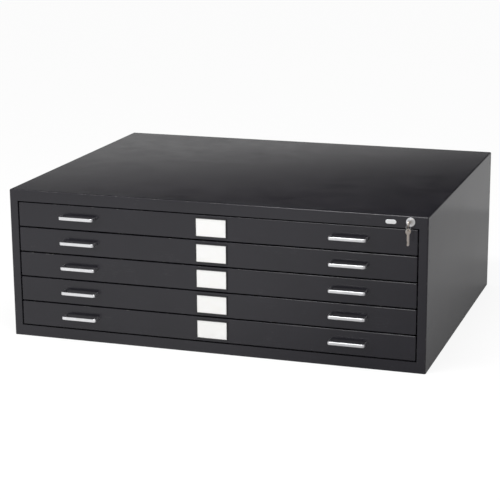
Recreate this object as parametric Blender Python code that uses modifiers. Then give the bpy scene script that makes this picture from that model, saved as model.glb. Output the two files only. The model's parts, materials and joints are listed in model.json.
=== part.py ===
"""Flat file cabinet: a low steel case with five shallow drawers for large sheets.

The origin is the middle of the underside, +X runs along the width, the drawers
open towards -Y and +Z is up. Lengths are in metres.
"""

import math

import bmesh
import bpy
from mathutils import Matrix, Vector

# Gaps and cuts that every piece uses
seat_gap = 0.0003
overrun = 0.004
merge_gap = 0.000003

# Case
case_width = 1.1779
case_depth = 0.8985
case_height = 0.4191
case_sheet = 0.0009
bend_radius = 0.0025
bend_steps = 3
stile_width = 0.024
top_rail = 0.032
bottom_rail = 0.030
pan_height = 0.020
back_flange = 0.015
frame_depth = 0.015
frame_flange = 0.005

# Drawer fronts
drawer_count = 5
drawer_gap = 0.00285
drawer_side_gap = 0.003
front_depth = 0.018
front_sheet = 0.0008
front_lip = 0.012
front_radius = 0.0018

# Trays
tray_sheet = 0.00075
tray_side_room = 0.04295
tray_rear_room = 0.0657
tray_inside_height = 0.054
tray_rise = 0.006
tray_radius = 0.002
hood_depth = 0.100
hood_lip = 0.006
hood_lip_clearance = 0.001

# Runners
rail_reach = 0.0141
rail_leg = 0.008
rail_side_clearance = 0.005
rail_front_gap = 0.003
ledge_rise = 0.012
ledge_width = 0.016
ledge_sheet = 0.0012
channel_height = 0.026
shoe_length = 0.080
shoe_reach = 0.016
roller_radius = 0.009
roller_ledge_gap = 0.0015
roller_set_back = 0.029
roller_width = 0.0107
roller_chamfer = 0.0008
roller_bore = 0.0033
stud_radius = 0.003
stud_shoulder_radius = 0.005
stud_head_radius = 0.0045
stud_head = 0.0012
runner_margin = 0.010
runner_foot_gap = 0.004
runner_back_gap = 0.020

# Sheet depressors
depressor_sheet = 0.0009
depressor_length = 0.110
depressor_lip = 0.006
depressor_set_back = 0.008
depressor_height = 0.040
depressor_pin = 0.0025
depressor_bore = 0.0028
depressor_end_gap = 0.0068
depressor_pin_out = 0.0003

# Handles
handle_inset = 0.208
handle_rise = 0.002
handle_length = 0.102
handle_stand = 0.028
handle_thickness = 0.0045
handle_height = 0.009
handle_bend = 0.008
handle_edge = 0.0012
handle_stud = 0.002
handle_stud_length = 0.007
handle_stud_sunk = 0.0024
handle_hole = 0.0024

# Label holders and cards
label_width = 0.0835
label_height = 0.048
label_shift = 0.0015
label_lip = 0.003
label_lip_sheet = 0.0007
label_back_sheet = 0.0006
card_sheet = 0.0003
card_cover = 0.001

# Badge plate
badge_width = 0.029
badge_height = 0.011
badge_sheet = 0.001
badge_inset = 0.098
badge_drop = 0.0174

# Lock
lock_inset = 0.0466
lock_drop = 0.015
lock_flange_radius = 0.0118
lock_flange = 0.0016
lock_barrel_radius = 0.0095
lock_barrel_length = 0.015
lock_hole_radius = 0.0099
plug_radius = 0.006
plug_bore = 0.0063
plug_proud = 0.0004
plug_end_wall = 0.0005
keyway_width = 0.0024
keyway_height = 0.0082
nut_across = 0.021
nut_thickness = 0.003
cam_radius = 0.0085
cam_sheet = 0.0015
cam_pin_radius = 0.0015
cam_pin_circle = 0.005
cam_pin_past = 0.0004
cam_clearance = 0.0005
cam_rest_angle = math.radians(-45)
cam_turn = math.radians(90)

# Lock bar
bar_front_gap = 0.00075
bar_sheet = 0.002
bar_web_gap = 0.001
bar_width = 0.016
tab_tray_gap = 0.0051
tab_height = 0.008
lug_tab_gap = 0.001
lug_sheet = 0.0015
lug_gap = 0.001
lug_reach = 0.008
arm_height = 0.011
arm_end = 0.006
guide_radius = 0.002
guide_head_radius = 0.004
guide_head = 0.0015
guide_clearance = 0.0003
guide_rise = 0.046

# Keys
key_length = 0.046
key_inserted = 0.0165
key_sheet = 0.0018
key_blade_half = 0.0035
key_bow_radius = 0.0085
key_hole_radius = 0.00275
key_hole_inset = 0.0045
key_tip = 0.002
key_cut_pitch = 0.002
key_cut_start = 0.0025
key_cut_depth_shares = (0.15, 0.55, 0.30, 0.70, 0.40)
ring_radius = 0.006
ring_wire = 0.0008
spare_key_turn = math.radians(35)
spare_key_slack = 0.0004

# Facets
fine_sides = 24
roller_sides = 16
front_steps = 2
tray_steps = 2
coarse_sides = 12
arc_steps = 5
wire_sides = 8
round_profile = 0.5
facing_share = 0.5
smooth_angle = math.radians(40)

half_width = case_width / 2
front_y = -case_depth / 2
rear_y = case_depth / 2
inner_half = half_width - case_sheet - seat_gap
opening_half = half_width - stile_width
opening_low = bottom_rail
opening_high = case_height - top_rail
front_half = opening_half - drawer_side_gap
front_height = (opening_high - opening_low - (drawer_count + 1) * drawer_gap) / drawer_count
drawer_pitch = front_height + drawer_gap

tray_inside_half = half_width - tray_side_room
tray_half = tray_inside_half + tray_sheet
tray_front = front_y + front_depth + seat_gap
tray_rear = rear_y - tray_rear_room
tray_height = tray_inside_height + tray_sheet
rail_half = tray_half + rail_reach
web_x = rail_half + rail_side_clearance
ledge_tip = web_x - ledge_width
ledge_top = tray_rise + ledge_rise
roller_rise = ledge_top + roller_ledge_gap + roller_radius
rail_under = roller_rise + roller_radius + seat_gap
ledge_above = ledge_top + channel_height

bar_front = front_y + front_depth + bar_front_gap
bar_rear = bar_front + bar_sheet
runner_front = bar_rear + seat_gap
runner_rear = rear_y - runner_back_gap
roller_y = runner_front + roller_set_back
lock_x = half_width - lock_inset
lock_z = case_height - lock_drop
cam_lift = 2 * cam_pin_circle * math.sin(cam_turn / 2)


def front_bottom(number):
    """Height of the bottom edge of drawer front 1 (the top one) to drawer_count."""
    return opening_low + drawer_gap + (drawer_count - number) * drawer_pitch


# Scene
for old in list(bpy.data.objects):
    bpy.data.objects.remove(old, do_unlink=True)
cabinet = bpy.data.collections.new("flat_file_cabinet")
cutters = bpy.data.collections.new("cutters")
cutters.hide_render = True
for group in (cabinet, cutters):
    bpy.context.scene.collection.children.link(group)


# Materials
def finish(name, colour, roughness, metallic):
    material = bpy.data.materials.new(name)
    material.use_nodes = True
    shader = material.node_tree.nodes["Principled BSDF"]
    shader.inputs["Base Color"].default_value = (*colour, 1)
    shader.inputs["Roughness"].default_value = roughness
    shader.inputs["Metallic"].default_value = metallic
    return material


black_paint = finish("black_paint", (0.022, 0.022, 0.025), 0.42, 0)
chrome = finish("chrome", (0.83, 0.83, 0.85), 0.14, 1)
zinc = finish("zinc", (0.56, 0.57, 0.58), 0.38, 1)
nylon = finish("nylon", (0.62, 0.61, 0.57), 0.50, 0)
card_stock = finish("card_stock", (0.90, 0.90, 0.89), 0.80, 0)
holder_steel = finish("holder_steel", (0.035, 0.035, 0.038), 0.40, 0)
key_metal = finish("key_metal", (0.52, 0.46, 0.42), 0.32, 1)
badge_metal = finish("badge_metal", (0.82, 0.83, 0.84), 0.30, 1)


# Tools that make a mesh
def helper(mesh):
    obj = bpy.data.objects.new("helper", mesh)
    obj.hide_render = True
    obj.display_type = "WIRE"
    cutters.objects.link(obj)
    return obj


def evaluated(obj):
    """The object's mesh with its modifiers applied. The object is removed."""
    graph = bpy.context.evaluated_depsgraph_get()
    mesh = bpy.data.meshes.new_from_object(obj.evaluated_get(graph))
    bpy.data.objects.remove(obj, do_unlink=True)
    return mesh


def closed(bm):
    """The bmesh as a mesh, with doubles merged and faces pointing out."""
    bmesh.ops.remove_doubles(bm, verts=bm.verts, dist=merge_gap)
    bmesh.ops.recalc_face_normals(bm, faces=bm.faces)
    mesh = bpy.data.meshes.new("mesh")
    bm.to_mesh(mesh)
    bm.free()
    return mesh


def box_cage(low, high):
    bm = bmesh.new()
    bmesh.ops.create_cube(bm, size=1)
    bmesh.ops.scale(bm, vec=[b - a for a, b in zip(low, high)], verts=bm.verts)
    bmesh.ops.translate(bm, vec=[(a + b) / 2 for a, b in zip(low, high)], verts=bm.verts)
    return bm


def box(low, high):
    return closed(box_cage(low, high))


def rod(radius, start, end, sides=coarse_sides):
    """A cylinder between two points."""
    start, end = Vector(start), Vector(end)
    bm = bmesh.new()
    bmesh.ops.create_cone(
        bm, cap_ends=True, segments=sides, radius1=radius, radius2=radius, depth=(end - start).length
    )
    place = Matrix.Translation((start + end) / 2) @ facing(end - start)
    bmesh.ops.transform(bm, matrix=place, verts=bm.verts)
    return closed(bm)


def facing(axis):
    """The turn that takes +Z to this axis."""
    return Vector((0, 0, 1)).rotation_difference(Vector(axis)).to_matrix().to_4x4()


def turned(profile, centre, axis, steps=fine_sides):
    """A closed profile of (radius, place along the axis) points, turned about the axis."""
    mesh = bpy.data.meshes.new("profile")
    count = len(profile)
    edges = [(n, (n + 1) % count) for n in range(count)]
    mesh.from_pydata([(radius, 0, along) for radius, along in profile], edges, [])
    obj = helper(mesh)
    screw = obj.modifiers.new("Screw", "SCREW")
    screw.axis = "Z"
    screw.steps = steps
    screw.render_steps = steps
    screw.use_merge_vertices = True
    screw.merge_threshold = merge_gap
    bm = bmesh.new()
    bm.from_mesh(evaluated(obj))
    bmesh.ops.transform(bm, matrix=Matrix.Translation(centre) @ facing(axis), verts=bm.verts)
    return closed(bm)


def plate(outlines, low, high, plane):
    """Flat outlines, the first one solid and the others holes, from low to high across the plane."""
    curve = bpy.data.curves.new("outline", "CURVE")
    curve.dimensions = "2D"
    curve.fill_mode = "BOTH"
    curve.extrude = (high - low) / 2
    for outline in outlines:
        spline = curve.splines.new("POLY")
        spline.points.add(len(outline[1:]))
        for point, place in zip(spline.points, outline):
            point.co = (*place, 0, 1)
        spline.use_cyclic_u = True
    obj = bpy.data.objects.new("outline", curve)
    obj.hide_render = True
    cutters.objects.link(obj)
    bm = bmesh.new()
    bm.from_mesh(evaluated(obj))
    bmesh.ops.translate(bm, vec=(0, 0, (low + high) / 2), verts=bm.verts)
    order = {"XY": (0, 1, 2), "XZ": (0, 2, 1), "YZ": (2, 0, 1)}[plane]
    for vert in bm.verts:
        vert.co = [vert.co[n] for n in order]
    return closed(bm)


def combined(mesh, others, operation):
    """The mesh after the others are joined to it (UNION) or cut from it (DIFFERENCE)."""
    base = helper(mesh)
    tools = [helper(other) for other in others]
    for tool in tools:
        modifier = base.modifiers.new("Boolean", "BOOLEAN")
        modifier.operation = operation
        modifier.solver = "EXACT"
        modifier.object = tool
    result = evaluated(base)
    for tool in tools:
        bpy.data.objects.remove(tool, do_unlink=True)
    return result


def walled(bm, thickness):
    """An open surface given this thickness on its inner side."""
    mesh = bpy.data.meshes.new("surface")
    bm.to_mesh(mesh)
    bm.free()
    obj = helper(mesh)
    solid = obj.modifiers.new("Solidify", "SOLIDIFY")
    solid.thickness = thickness
    solid.offset = -1
    solid.use_even_offset = True
    return evaluated(obj)


def round_folds(bm, radius, steps):
    """Rounds each fold of an open surface, and leaves its free edges."""
    folds = [edge for edge in bm.edges if len(edge.link_faces) == 2 and edge.calc_face_angle() > smooth_angle]
    bmesh.ops.bevel(
        bm,
        geom=folds,
        offset=radius,
        offset_type="OFFSET",
        segments=steps,
        profile=round_profile,
        affect="EDGES",
    )


def open_box(low, high, missing):
    """A box without the faces whose normals are listed, and with its folds rounded."""
    bm = box_cage(low, high)
    bm.normal_update()
    gone = [face for face in bm.faces if any(face.normal.dot(Vector(way)) > facing_share for way in missing)]
    bmesh.ops.delete(bm, geom=gone, context="FACES")
    round_folds(bm, bend_radius, bend_steps)
    return bm


def arc(centre, radius, start, end, steps=arc_steps):
    """Points of an arc from one angle to another, in radians."""
    angles = [start + (end - start) * n / steps for n in range(steps + 1)]
    return [(centre[0] + radius * math.cos(a), centre[1] + radius * math.sin(a)) for a in angles]


def band(points, thickness):
    """The outline of a bent sheet whose middle line runs through the points."""
    line = [Vector(point) for point in points]
    sides = []
    for n, point in enumerate(line):
        before = (point - line[n - 1]).normalized() if n else (line[1] - point).normalized()
        after = (line[n + 1] - point).normalized() if n + 1 < len(line) else before
        normal = Vector((-before.y - after.y, before.x + after.x)).normalized()
        mitre = normal.dot(Vector((-before.y, before.x)))
        sides.append(normal * thickness / 2 / mitre)
    left = [point + side for point, side in zip(line, sides)]
    right = [point - side for point, side in zip(line, sides)]
    return [tuple(point) for point in left + right[::-1]]


def add(name, mesh, material, parent=None):
    """A named sub-part of the cabinet."""
    obj = bpy.data.objects.new(name, mesh)
    if not mesh.materials:
        mesh.materials.append(material)
    mesh.materials[0] = material
    mesh.shade_smooth()
    mesh.set_sharp_from_angle(angle=smooth_angle)
    cabinet.objects.link(obj)
    obj.parent = parent
    return obj


def pivot(name, place, parent=None):
    """An empty on a joint's axis, which carries the pieces that move together."""
    obj = bpy.data.objects.new(name, None)
    obj.location = place
    obj.empty_display_size = ring_radius
    cabinet.objects.link(obj)
    obj.parent = parent
    return obj


def placed(name, mesh, material, carrier):
    """A sub-part whose mesh is written in the cabinet's frame, carried by an empty."""
    obj = add(name, mesh, material, carrier)
    place = Vector((0, 0, 0))
    while carrier:
        place += carrier.location
        carrier = carrier.parent
    mesh.transform(Matrix.Translation(-place))
    return obj


# Case wrapper: one sheet folded into the top, the sides and the face round the drawers
def case_wrapper():
    low = (-half_width, front_y, 0)
    high = (half_width, rear_y, case_height)
    shell = walled(open_box(low, high, [(0, 0, -1), (0, 1, 0)]), case_sheet)
    opening = box(
        (-opening_half, front_y - overrun, opening_low),
        (opening_half, front_y + bend_radius + case_sheet, opening_high),
    )
    lock_hole = rod(
        lock_hole_radius,
        (lock_x, front_y - overrun, lock_z),
        (lock_x, front_y + case_sheet + overrun, lock_z),
        fine_sides,
    )
    add("case_wrapper", combined(shell, [opening, lock_hole], "DIFFERENCE"), black_paint)


# Base pan: closes the underside, with its edges turned up inside the wrapper
def base_pan():
    low = (-inner_half, front_y + case_sheet + seat_gap, 0)
    high = (inner_half, rear_y, pan_height)
    add("base_pan", walled(open_box(low, high, [(0, 0, 1)]), case_sheet), black_paint)


# Back panel: a shallow pan let into the rear of the wrapper, above the base pan
def back_panel():
    low = (-inner_half, rear_y - back_flange, pan_height + seat_gap)
    high = (inner_half, rear_y, case_height - case_sheet - seat_gap)
    add("back_panel", walled(open_box(low, high, [(0, -1, 0)]), case_sheet), black_paint)


# Front frame: an angle ring behind the face that stiffens the drawer opening
def front_frame():
    start = front_y + case_sheet + seat_gap
    flange = box(
        (-opening_half - frame_flange, start, opening_low - frame_flange),
        (opening_half + frame_flange, start + case_sheet, opening_high + frame_flange),
    )
    web = box(
        (-opening_half - case_sheet, start + case_sheet / 2, opening_low - case_sheet),
        (opening_half + case_sheet, front_y + frame_depth, opening_high + case_sheet),
    )
    opening = box(
        (-opening_half, start - overrun, opening_low),
        (opening_half, front_y + frame_depth + overrun, opening_high),
    )
    ring = combined(combined(flange, [web], "UNION"), [opening], "DIFFERENCE")
    add("front_frame", ring, black_paint)


# Runner panels: one each side, with a channel and a roller stud for every drawer
def runner_outline(side):
    """The panel's section from the front: an upright web with two ledges for each drawer."""
    low = pan_height + runner_foot_gap
    high = front_bottom(1) + ledge_above + ledge_sheet + runner_margin
    points = [(side * (web_x + ledge_sheet), low), (side * (web_x + ledge_sheet), high), (side * web_x, high)]
    for number in range(1, drawer_count + 1):
        for under in (front_bottom(number) + ledge_above, front_bottom(number) + ledge_top - ledge_sheet):
            points += [
                (side * web_x, under + ledge_sheet),
                (side * ledge_tip, under + ledge_sheet),
                (side * ledge_tip, under),
                (side * web_x, under),
            ]
    return points + [(side * web_x, low)]


def roller_stud(side, number):
    """A shouldered stud with a head that keeps the roller on."""
    inner = rail_half - roller_width - seat_gap
    profile = [
        (0, inner - stud_head),
        (stud_head_radius, inner - stud_head),
        (stud_head_radius, inner),
        (stud_radius, inner),
        (stud_radius, rail_half + seat_gap),
        (stud_shoulder_radius, rail_half + seat_gap),
        (stud_shoulder_radius, web_x + ledge_sheet / 2),
        (0, web_x + ledge_sheet / 2),
    ]
    place = (0, roller_y, front_bottom(number) + roller_rise)
    return turned(profile, place, (side, 0, 0), coarse_sides)


def guide_stud(height):
    """A headed stud on which the lock bar slides."""
    head = bar_front - seat_gap - guide_head
    profile = [
        (0, head),
        (guide_head_radius, head),
        (guide_head_radius, head + guide_head),
        (guide_radius, head + guide_head),
        (guide_radius, runner_front + case_sheet / 2),
        (0, runner_front + case_sheet / 2),
    ]
    return turned(profile, (web_x + bar_web_gap + bar_width / 2, 0, height), (0, 1, 0), coarse_sides)


def guide_heights():
    """Where the two guide studs stand, between tabs of the lock bar."""
    return [front_bottom(number) + guide_rise for number in (drawer_count, 2)]


def runner_panel(name, side):
    outline = runner_outline(side)
    low, high = outline[0][1], outline[1][1]
    panel = plate([outline], runner_front + case_sheet / 2, runner_rear - case_sheet / 2, "XZ")
    inner, outer = web_x + ledge_sheet / 2, inner_half
    legs = []
    for start in (runner_front, runner_rear - case_sheet):
        ends = sorted((side * inner, side * outer))
        legs.append(
            box((ends[0], start, low + ledge_sheet), (ends[1], start + case_sheet, high - ledge_sheet))
        )
    studs = [roller_stud(side, number) for number in range(1, drawer_count + 1)]
    if side > 0:
        studs += [guide_stud(height) for height in guide_heights()]
    add(name, combined(panel, legs + studs, "UNION"), zinc)


# Rollers: the drawers' rails run on them at the front of each channel
def roller_mesh(side):
    inner, outer = -roller_width / 2, roller_width / 2
    profile = [
        (roller_bore, inner),
        (roller_radius - roller_chamfer, inner),
        (roller_radius, inner + roller_chamfer),
        (roller_radius, outer - roller_chamfer),
        (roller_radius - roller_chamfer, outer),
        (roller_bore, outer),
    ]
    return turned(profile, (0, 0, 0), (side, 0, 0), roller_sides)


def rollers():
    for side, word in ((-1, "left"), (1, "right")):
        mesh = roller_mesh(side)
        for number in range(1, drawer_count + 1):
            place = (side * (rail_half - roller_width / 2), roller_y, front_bottom(number) + roller_rise)
            axle = pivot(f"roller_axis_{word}_{number}", place)
            add(f"front_roller_{word}_{number}", mesh, nylon, axle)


# Drawer pieces: their meshes are written from the bottom edge of their own drawer front
def tray_mesh():
    """Pan with a hood over its rear, side rails, rear glide shoes and a lug for the lock bar."""
    low = (-tray_half, tray_front, tray_rise)
    high = (tray_half, tray_rear, tray_rise + tray_height)
    bm = box_cage(low, high)
    whole = bm.verts[:] + bm.edges[:] + bm.faces[:]
    bmesh.ops.bisect_plane(bm, geom=whole, plane_co=(0, tray_rear - hood_depth, 0), plane_no=(0, 1, 0))
    bm.normal_update()
    lid = [
        face
        for face in bm.faces
        if face.normal.z > facing_share and face.calc_center_median().y < tray_rear - hood_depth
    ]
    bmesh.ops.delete(bm, geom=lid, context="FACES")
    round_folds(bm, tray_radius, tray_steps)
    pan = walled(bm, tray_sheet)

    lip_half = tray_inside_half - hood_lip_clearance
    hood_front = tray_rear - hood_depth
    rim = tray_rise + tray_height
    added = [
        box(
            (-lip_half, hood_front, rim - hood_lip),
            (lip_half, hood_front + tray_sheet, rim - tray_sheet / 2),
        )
    ]
    grip = tray_half - tray_sheet / 2
    rail_front = runner_front + rail_front_gap
    for side in (-1, 1):
        floor = sorted((side * grip, side * rail_half))
        wall = sorted((side * grip, side * (tray_half + tray_sheet)))
        shoe = sorted((side * grip, side * (tray_half + shoe_reach)))
        added += [
            box((floor[0], rail_front, rail_under), (floor[1], tray_rear, rail_under + tray_sheet)),
            box(
                (wall[0], rail_front + tray_sheet, rail_under + tray_sheet / 2),
                (wall[1], tray_rear - tray_sheet, rail_under + tray_sheet + rail_leg),
            ),
            box(
                (shoe[0], tray_rear - shoe_length, ledge_top + seat_gap),
                (shoe[1], tray_rear + tray_sheet, ledge_above - seat_gap),
            ),
        ]
    lug_outer = rail_half - lug_gap
    lug_front = bar_rear + lug_gap
    added.append(
        box(
            (lug_outer - lug_reach, lug_front, tab_top_at_rest() + lug_tab_gap),
            (lug_outer, lug_front + lug_sheet, rail_under + tray_sheet / 2),
        )
    )
    added.append(
        box(
            (grip, lug_front, rail_under),
            (rail_half, rail_front + tray_sheet, rail_under + tray_sheet),
        )
    )
    pan = combined(pan, added, "UNION")
    bore = rod(
        depressor_bore,
        (-tray_half - overrun, *depressor_axis()),
        (tray_half + overrun, *depressor_axis()),
    )
    return combined(pan, [bore], "DIFFERENCE")


def tab_top_at_rest():
    """Top of a lock bar tab, from the drawer front's bottom edge, with the lock open."""
    return rail_under - lug_gap - lug_reach


def depressor_axis():
    """(y, z) of the depressor's pins, from the drawer front's bottom edge."""
    return (tray_front + tray_sheet + depressor_set_back, tray_rise + tray_sheet + depressor_height)


def depressor_mesh():
    """A sloping bent sheet on a rod, whose ends turn in the tray's side walls."""
    y, z = depressor_axis()
    drop = depressor_height - seat_gap - depressor_sheet
    slope = math.asin(drop / depressor_length)
    end = (y + depressor_length * math.cos(slope), z - drop)
    lip = (end[0] + depressor_lip * math.sin(slope), end[1] + depressor_lip * math.cos(slope))
    half = tray_inside_half - depressor_end_gap
    strip = plate([band([(y, z), end, lip], depressor_sheet)], -half, half, "YZ")
    reach = tray_half + depressor_pin_out
    return combined(rod(depressor_pin, (-reach, y, z), (reach, y, z)), [strip], "UNION")


def handle_places():
    """(x, z) of the middle of each handle on its drawer front."""
    return [(side * (half_width - handle_inset), front_height / 2 + handle_rise) for side in (-1, 1)]


def front_mesh():
    """A shallow steel pan with lips turned in at the back and holes for the handles' studs."""
    low = (-front_half, front_y, 0)
    high = (front_half, front_y + front_depth, front_height)
    bm = box_cage(low, high)
    bm.normal_update()
    back = [face for face in bm.faces if face.normal.y > facing_share]
    bmesh.ops.inset_region(bm, faces=back, thickness=front_lip, use_even_offset=True)
    bmesh.ops.delete(bm, geom=back, context="FACES")
    round_folds(bm, front_radius, front_steps)
    shell = walled(bm, front_sheet)
    holes = []
    for x, z in handle_places():
        for leg in (-1, 1):
            leg_x = x + leg * (handle_length - handle_thickness) / 2
            holes.append(
                rod(handle_hole, (leg_x, front_y - overrun, z), (leg_x, front_y + front_sheet + overrun, z))
            )
    return combined(shell, holes, "DIFFERENCE")


def handle_mesh():
    """A flat bar bent into two legs, each with a stud that goes through the drawer front."""
    half = handle_length / 2
    inner_half_length = half - handle_thickness
    bend_in = handle_bend - handle_thickness
    right, left = math.pi / 2, math.pi
    outer = (
        [(-half, 0)]
        + arc((-half + handle_bend, handle_stand - handle_bend), handle_bend, left, right)
        + arc((half - handle_bend, handle_stand - handle_bend), handle_bend, right, 0)
        + [(half, 0)]
    )
    inner = (
        [(inner_half_length, 0)]
        + arc((half - handle_bend, handle_stand - handle_bend), bend_in, 0, right)
        + arc((-half + handle_bend, handle_stand - handle_bend), bend_in, right, left)
        + [(-inner_half_length, 0)]
    )
    face = front_y - seat_gap
    outline = [(x, face - out) for x, out in outer + inner]
    obj = helper(plate([outline], -handle_height / 2, handle_height / 2, "XY"))
    bevel = obj.modifiers.new("Bevel", "BEVEL")
    bevel.width = handle_edge
    bevel.segments = 1
    bevel.limit_method = "ANGLE"
    bevel.angle_limit = smooth_angle
    bar = evaluated(obj)
    studs = []
    for leg in (-1, 1):
        x = leg * (handle_length - handle_thickness) / 2
        studs.append(rod(handle_stud, (x, face - handle_stud_sunk, 0), (x, face + handle_stud_length, 0)))
    return combined(bar, studs, "UNION")


def label_holder_mesh():
    """A frame with a slot behind its lips, open at the top, for a card."""
    half = label_width / 2 + label_lip
    mid = front_height / 2
    tall = label_height / 2 + label_lip
    slot = card_sheet + 2 * seat_gap
    back = front_y - seat_gap
    front = back - label_back_sheet - slot - label_lip_sheet
    cover = card_cover + seat_gap
    frame = box((label_shift - half, front, mid - tall), (label_shift + half, back, mid + tall))
    slot_half = label_width / 2 + cover
    pocket = box(
        (label_shift - slot_half, front + label_lip_sheet, mid - label_height / 2 - cover),
        (label_shift + slot_half, front + label_lip_sheet + slot, mid + tall + overrun),
    )
    window = box(
        (label_shift - label_width / 2, front - overrun, mid - label_height / 2),
        (label_shift + label_width / 2, front + label_lip_sheet + slot / 2, mid + label_height / 2),
    )
    return combined(frame, [pocket, window], "DIFFERENCE")


def label_card_mesh():
    back = front_y - 2 * seat_gap - label_back_sheet
    half = label_width / 2 + card_cover
    mid = front_height / 2
    return box(
        (label_shift - half, back - card_sheet, mid - label_height / 2 - card_cover),
        (label_shift + half, back, mid + label_height / 2 + card_cover),
    )


def drawers():
    tray, front, depressor = tray_mesh(), front_mesh(), depressor_mesh()
    handle, holder, card = handle_mesh(), label_holder_mesh(), label_card_mesh()
    axis = Vector((0, *depressor_axis()))
    depressor.transform(Matrix.Translation(-axis))
    for number in range(1, drawer_count + 1):
        drawer = pivot(f"drawer_{number}", (0, 0, front_bottom(number)))
        add(f"drawer_{number}_tray", tray, black_paint, drawer)
        add(f"drawer_{number}_front", front, black_paint, drawer)
        add(f"drawer_{number}_label_holder", holder, holder_steel, drawer)
        add(f"drawer_{number}_label_card", card, card_stock, drawer)
        hinge = pivot(f"depressor_{number}", axis, drawer)
        add(f"drawer_{number}_depressor", depressor, black_paint, hinge)
        for word, (x, z) in zip(("left", "right"), handle_places()):
            obj = add(f"drawer_{number}_handle_{word}", handle, chrome, drawer)
            obj.location = (x, 0, z)


# Badge plate: a blank pill-shaped plate on the top rail
def badge_plate():
    end = badge_height / 2
    run = badge_width / 2 - end
    mid = case_height - badge_drop
    badge_x = half_width - badge_inset
    up = math.pi / 2
    outline = arc((badge_x + run, mid), end, -up, up) + arc((badge_x - run, mid), end, up, 3 * up)
    back = front_y - seat_gap
    add("badge_plate", plate([outline], back - badge_sheet, back, "XZ"), badge_metal)


# Lock: a threaded housing held by a nut, with a plug that turns a cam
def lock_housing():
    back = -seat_gap
    profile = [
        (plug_bore, back - lock_flange),
        (lock_flange_radius - lock_flange / 2, back - lock_flange),
        (lock_flange_radius, back - lock_flange / 2),
        (lock_flange_radius, back),
        (lock_barrel_radius, back),
        (lock_barrel_radius, lock_barrel_length),
        (plug_bore, lock_barrel_length),
    ]
    add("lock_housing", turned(profile, (lock_x, front_y, lock_z), (0, 1, 0)), chrome)


def lock_nut():
    start = front_y + case_sheet + seat_gap
    bm = bmesh.new()
    corner = nut_across / math.sqrt(3)
    bmesh.ops.create_cone(bm, cap_ends=True, segments=6, radius1=corner, radius2=corner, depth=nut_thickness)
    flat_down = Matrix.Rotation(math.pi / 6, 4, "Z")
    place = Matrix.Translation((lock_x, start + nut_thickness / 2, lock_z)) @ facing((0, 1, 0))
    bmesh.ops.transform(bm, matrix=place @ flat_down, verts=bm.verts)
    hole = rod(
        lock_hole_radius,
        (lock_x, start - overrun, lock_z),
        (lock_x, start + nut_thickness + overrun, lock_z),
        fine_sides,
    )
    add("lock_nut", combined(closed(bm), [hole], "DIFFERENCE"), zinc)


def plug_front():
    """The y of the plug's face, where the key goes in."""
    return front_y - seat_gap - lock_flange - plug_proud


def lock_plug(core):
    start, end = plug_front(), front_y + lock_barrel_length
    body = rod(plug_radius, (lock_x, start, lock_z), (lock_x, end, lock_z), fine_sides)
    keyway = box(
        (lock_x - keyway_width / 2, start - overrun, lock_z - keyway_height / 2),
        (lock_x + keyway_width / 2, start + key_inserted + plug_end_wall, lock_z + keyway_height / 2),
    )
    placed("lock_plug", combined(body, [keyway], "DIFFERENCE"), chrome, core)


def lock_cam(core):
    """A disc with an off-centre pin that lifts the lock bar."""
    start = front_y + lock_barrel_length + seat_gap
    disc = rod(cam_radius, (lock_x, start, lock_z), (lock_x, start + cam_sheet, lock_z), fine_sides)
    x = lock_x + cam_pin_circle * math.cos(cam_rest_angle)
    z = lock_z + cam_pin_circle * math.sin(cam_rest_angle)
    pin = rod(cam_pin_radius, (x, start + cam_sheet / 2, z), (x, bar_rear + cam_pin_past, z))
    placed("lock_cam", combined(disc, [pin], "UNION"), zinc, core)


# Lock bar: an upright that rises behind the right stile and puts a tab in front of each lug
def slot(x_low, x_high, z_low, z_high):
    """A round-ended slot along its longer side."""
    up = math.pi / 2
    if x_high - x_low > z_high - z_low:
        end, mid = (z_high - z_low) / 2, (z_low + z_high) / 2
        return arc((x_high - end, mid), end, -up, up) + arc((x_low + end, mid), end, up, 3 * up)
    end, mid = (x_high - x_low) / 2, (x_low + x_high) / 2
    return arc((mid, z_high - end), end, 0, 2 * up) + arc((mid, z_low + end), end, 2 * up, 4 * up)


def lock_bar(carrier):
    near, far = web_x + bar_web_gap, web_x + bar_web_gap + bar_width
    tab_tip = tray_half + tab_tray_gap
    pin_z = lock_z + cam_pin_circle * math.sin(cam_rest_angle)
    arm_low, arm_high = pin_z - arm_height / 2, pin_z + arm_height / 2
    points = [(far, arm_high), (lock_x - arm_end, arm_high), (lock_x - arm_end, arm_low), (near, arm_low)]
    for number in range(1, drawer_count + 1):
        top = front_bottom(number) + tab_top_at_rest()
        points += [(near, top), (tab_tip, top), (tab_tip, top - tab_height), (near, top - tab_height)]
    low = points[-1][1]
    points = points[:-1] + [(near, low), (far, low)]
    pin_room = cam_pin_radius + cam_clearance
    pin_near = lock_x + cam_pin_circle * math.cos(cam_rest_angle)
    pin_far = lock_x + cam_pin_circle
    holes = [slot(pin_near - pin_room, pin_far + pin_room, pin_z - pin_room, pin_z + pin_room)]
    stud_room = guide_radius + guide_clearance
    mid = (near + far) / 2
    for height in guide_heights():
        holes.append(
            slot(mid - stud_room, mid + stud_room, height - cam_lift - stud_room, height + stud_room)
        )
    placed("lock_bar", plate([points] + holes, bar_front, bar_rear, "XZ"), zinc, carrier)


# Keys: one in the lock, and a spare that hangs from it on a ring
def key_outline():
    """Blade along u from its tip, then the round bow; v is across the blade."""
    centre = key_length - key_bow_radius
    spread = math.asin(key_blade_half / key_bow_radius)
    bow = arc((centre, 0), key_bow_radius, math.pi - spread, spread - math.pi, fine_sides // 2)
    cuts = []
    for n, depth_share in enumerate(reversed(key_cut_depth_shares)):
        u = key_cut_start + key_tip + (len(key_cut_depth_shares) - 1 - n) * key_cut_pitch
        cuts += [(u + key_cut_pitch / 2, -key_blade_half), (u, -key_blade_half * (1 - depth_share))]
    half = key_blade_half
    return bow + cuts + [(key_tip, -half), (0, -half / 2), (0, half / 2), (key_tip, half)]


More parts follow.
